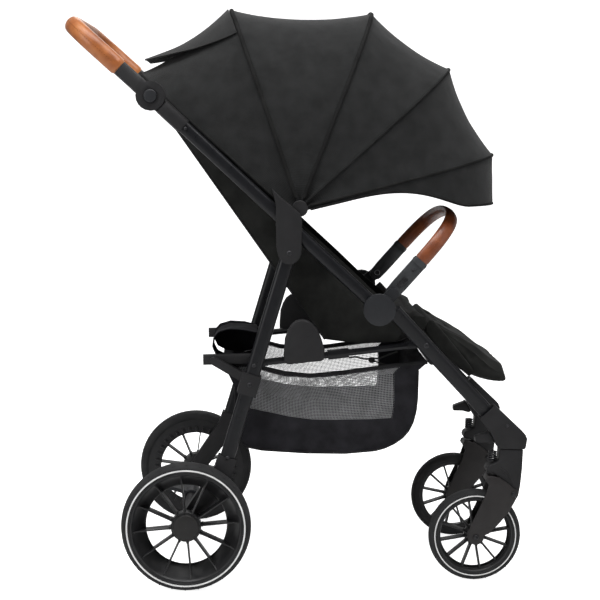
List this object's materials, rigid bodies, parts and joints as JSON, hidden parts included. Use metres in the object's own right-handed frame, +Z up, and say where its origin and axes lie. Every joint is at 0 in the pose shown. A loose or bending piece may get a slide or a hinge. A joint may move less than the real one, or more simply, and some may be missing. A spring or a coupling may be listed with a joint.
{
  "type": "baby stroller",
  "caption": "Folding baby stroller with a tube frame, swivelling sprung front wheels, reclining seat, ribbed canopy and a cloth basket.",
  "frame": {"origin": "on the floor, under the middle of the bounding box", "axes": "+X the way the stroller rolls, +Y its left side, +Z up"},
  "size_m": [0.9568, 0.59, 1.1667],
  "materials": {
    "frame_paint": "satin black powder coat",
    "plastic": "fine matte",
    "grey_plastic": "fine matte",
    "tyre": "matte",
    "rim": "semi gloss",
    "canopy_cloth": "matte woven",
    "seat_cloth": "matte woven",
    "basket_cloth": "matte woven",
    "leather": "smooth, waxed",
    "webbing": "ribbed webbing"
  },
  "bodies": {
    "front_frame": {"front_tube_L": "frame_paint", "front_tube_R": "frame_paint", "front_housing_L": "plastic", "front_housing_R": "plastic", "fold_disc_L": "grey_plastic", "fold_disc_R": "grey_plastic", "front_cross_tube": "frame_paint", "basket": "basket_cloth", "seat_base": "seat_cloth"},
    "upper_frame": {"upper_tube_L": "frame_paint", "upper_tube_R": "frame_paint", "handle_hinge_L": "plastic", "handle_hinge_R": "plastic", "leg_bracket_L": "plastic", "leg_bracket_R": "plastic", "canopy_bow_1": "frame_paint", "canopy_back_panel": "canopy_cloth", "seat_sling": "seat_cloth"},
    "backrest": {"backrest": "seat_cloth", "harness": "webbing"},
    "handle": {"handle_arm_L": "plastic", "handle_arm_R": "plastic", "handle_grip": "leather"},
    "button_L": {"handle_button_L": "grey_plastic"},
    "button_R": {"handle_button_R": "grey_plastic"},
    "rear_legs": {"rear_leg_L": "frame_paint", "rear_leg_R": "frame_paint", "basket_rail_L": "plastic", "basket_rail_R": "plastic", "rear_axle": "plastic"},
    "brake_pedal": {"brake_pedal": "grey_plastic"},
    "rear_wheel_L": {"rear_rim_L": "rim", "rear_tyre_L": "tyre"},
    "rear_wheel_R": {"rear_rim_R": "rim", "rear_tyre_R": "tyre"},
    "side_links": {"side_link_L": "frame_paint", "side_link_R": "frame_paint", "link_cover_L": "plastic", "link_cover_R": "plastic"},
    "caster_L": {"caster_head_L": "plastic"},
    "caster_R": {"caster_head_R": "plastic"},
    "fork_L": {"caster_fork_L": "plastic"},
    "fork_R": {"caster_fork_R": "plastic"},
    "front_wheel_L": {"front_rim_L": "rim", "front_tyre_L": "tyre"},
    "front_wheel_R": {"front_rim_R": "rim", "front_tyre_R": "tyre"},
    "lock_L": {"caster_lock_L": "plastic"},
    "lock_R": {"caster_lock_R": "plastic"},
    "leg_rest": {"leg_rest": "seat_cloth"},
    "bumper": {"bumper_arm_L": "grey_plastic", "bumper_arm_R": "grey_plastic", "bumper_bar": "leather"},
    "canopy_2": {"canopy_bow_2": "frame_paint", "canopy_panel_1": "canopy_cloth"},
    "canopy_3": {"canopy_bow_3": "frame_paint", "canopy_panel_2": "canopy_cloth"},
    "canopy_4": {"canopy_bow_4": "frame_paint", "canopy_panel_3": "canopy_cloth", "canopy_visor": "canopy_cloth"}
  },
  "joints": [
    {"name": "frame_fold", "type": "hinge", "parent": "front_frame", "child": "upper_frame", "pos_m": [0.16035, 0, 0.571], "axis": [0, -1, 0], "range_deg": [0, 110], "deforming": ["seat_sling", "seat_base", "basket"]},
    {"name": "leg_fold", "type": "hinge", "parent": "upper_frame", "child": "rear_legs", "pos_m": [-0.02165, 0, 0.68], "axis": [0, -1, 0], "range_deg": [-68, 1]},
    {"name": "link_fold", "type": "hinge", "parent": "front_frame", "child": "side_links", "pos_m": [0.25995, 0, 0.497], "axis": [0, -1, 0], "range_deg": [-1, 77]},
    {"name": "backrest_recline", "type": "hinge", "parent": "upper_frame", "child": "backrest", "pos_m": [0.06135, 0, 0.495], "axis": [0, 1, 0], "range_deg": [-35, 0]},
    {"name": "handle_tilt", "type": "hinge", "parent": "upper_frame", "child": "handle", "pos_m": [-0.30065, 0, 0.982], "axis": [0, 1, 0], "range_deg": [-55, 35]},
    {"name": "button_press_L", "type": "slide", "parent": "handle", "child": "button_L", "axis": [0, -1, 0], "range_m": [0, 0.003], "stiffness_N_per_m": 600, "springref_m": -0.002},
    {"name": "button_press_R", "type": "slide", "parent": "handle", "child": "button_R", "axis": [0, 1, 0], "range_m": [0, 0.003], "stiffness_N_per_m": 600, "springref_m": -0.002},
    {"name": "brake_press", "type": "hinge", "parent": "rear_legs", "child": "brake_pedal", "pos_m": [-0.21565, 0, 0.13], "axis": [0, -1, 0], "range_deg": [0, 18]},
    {"name": "rear_wheel_spin_L", "type": "hinge", "parent": "rear_legs", "child": "rear_wheel_L", "pos_m": [-0.21565, 0.273, 0.13], "axis": [0, 1, 0], "continuous": true},
    {"name": "rear_wheel_spin_R", "type": "hinge", "parent": "rear_legs", "child": "rear_wheel_R", "pos_m": [-0.21565, -0.273, 0.13], "axis": [0, 1, 0], "continuous": true},
    {"name": "leg_rest_tilt", "type": "hinge", "parent": "front_frame", "child": "leg_rest", "pos_m": [0.27635, 0, 0.541], "axis": [0, 1, 0], "range_deg": [-35, 0]},
    {"name": "bumper_swing", "type": "hinge", "parent": "front_frame", "child": "bumper", "pos_m": [0.18935, 0, 0.6], "axis": [0, 1, 0], "range_deg": [0, 40]},
    {"name": "canopy_fold", "type": "hinge", "parent": "upper_frame", "child": "canopy_2", "pos_m": [-0.00265, 0, 0.768], "axis": [0, -1, 0], "range_deg": [0, 33], "deforming": ["canopy_panel_1"]},
    {"name": "canopy_fold_3", "type": "hinge", "parent": "canopy_2", "child": "canopy_3", "pos_m": [-0.00265, 0, 0.768], "axis": [0, -1, 0], "range_deg": [0, 21], "deforming": ["canopy_panel_2"]},
    {"name": "canopy_fold_4", "type": "hinge", "parent": "canopy_3", "child": "canopy_4", "pos_m": [-0.00265, 0, 0.768], "axis": [0, -1, 0], "range_deg": [0, 21], "deforming": ["canopy_panel_3", "canopy_visor"]},
    {"name": "caster_swivel_L", "type": "hinge", "parent": "front_frame", "child": "caster_L", "pos_m": [0.44735, 0.172, 0.281], "axis": [0, 0, 1], "continuous": true},
    {"name": "fork_spring_L", "type": "hinge", "parent": "caster_L", "child": "fork_L", "pos_m": [0.45435, 0.172, 0.188], "axis": [0, 1, 0], "range_deg": [0, 5], "stiffness_Nm_per_rad": 60, "springref_deg": -6.88},
    {"name": "front_wheel_spin_L", "type": "hinge", "parent": "fork_L", "child": "front_wheel_L", "pos_m": [0.37935, 0.172, 0.096], "axis": [0, 1, 0], "continuous": true},
    {"name": "caster_lock_L", "type": "slide", "parent": "front_frame", "child": "lock_L", "axis": [0.4961, 0, -0.8682], "range_m": [0, 0.004]},
    {"name": "caster_swivel_R", "type": "hinge", "parent": "front_frame", "child": "caster_R", "pos_m": [0.44735, -0.172, 0.281], "axis": [0, 0, 1], "continuous": true},
    {"name": "fork_spring_R", "type": "hinge", "parent": "caster_R", "child": "fork_R", "pos_m": [0.45435, -0.172, 0.188], "axis": [0, 1, 0], "range_deg": [0, 5], "stiffness_Nm_per_rad": 60, "springref_deg": -6.88},
    {"name": "front_wheel_spin_R", "type": "hinge", "parent": "fork_R", "child": "front_wheel_R", "pos_m": [0.37935, -0.172, 0.096], "axis": [0, 1, 0], "continuous": true},
    {"name": "caster_lock_R", "type": "slide", "parent": "front_frame", "child": "lock_R", "axis": [0.4961, 0, -0.8682], "range_m": [0, 0.004]}
  ],
  "couplings": [
    {"joint": "leg_fold", "follows": "frame_fold", "ratio": -0.6},
    {"joint": "link_fold", "follows": "frame_fold", "ratio": 0.68},
    {"joint": "canopy_fold_3", "follows": "canopy_fold", "ratio": 0.62},
    {"joint": "canopy_fold_4", "follows": "canopy_fold", "ratio": 0.62}
  ]
}
